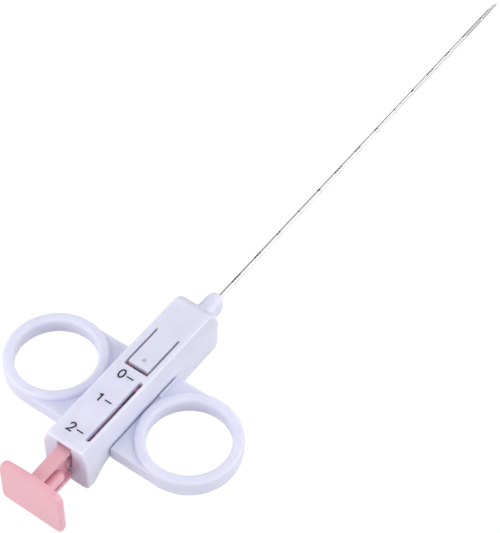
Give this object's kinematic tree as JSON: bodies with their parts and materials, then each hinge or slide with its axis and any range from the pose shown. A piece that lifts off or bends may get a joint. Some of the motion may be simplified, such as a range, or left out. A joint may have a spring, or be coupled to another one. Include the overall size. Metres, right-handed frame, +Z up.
{
  "type": "core biopsy needle",
  "caption": "Semi-automatic core biopsy needle: slim steel cannula and notched stylet on a two-ring handle with a thumb plunger and depth window.",
  "frame": {"origin": "bottom centre of the bounding box, under the needle axis", "axes": "+X along the needle towards its tip, +Y to the left finger ring, +Z up out of the face with the scale window"},
  "size_m": [0.2262, 0.0706, 0.016],
  "materials": {
    "white_abs": "injection-moulded ABS, satin, faintly lavender white",
    "pink_abs": "injection-moulded ABS, satin, pink colour code",
    "natural_acetal": "moulded natural acetal",
    "stainless_tube": "drawn stainless tube, polished",
    "stainless_rod": "ground and polished stainless rod",
    "spring_wire": "coiled stainless spring wire"
  },
  "bodies": {
    "handle": {"housing": "white_abs", "base_lid": "white_abs", "ring_frame": "white_abs", "drive_spring": "spring_wire"},
    "plunger_set": {"plunger": "pink_abs", "stylet": "stainless_rod"},
    "cannula_set": {"cannula_carriage": "natural_acetal", "cannula": "stainless_tube"}
  },
  "joints": [
    {"name": "plunger_slide", "type": "slide", "parent": "handle", "child": "plunger_set", "axis": [1, 0, 0], "range_m": [-0.02, 0], "deforming": ["drive_spring"]},
    {"name": "carriage_slide", "type": "slide", "parent": "plunger_set", "child": "cannula_set", "axis": [1, 0, 0], "range_m": [-0.02, 0], "stiffness_N_per_m": 150, "springref_m": 0.01, "deforming": ["drive_spring"]}
  ]
}
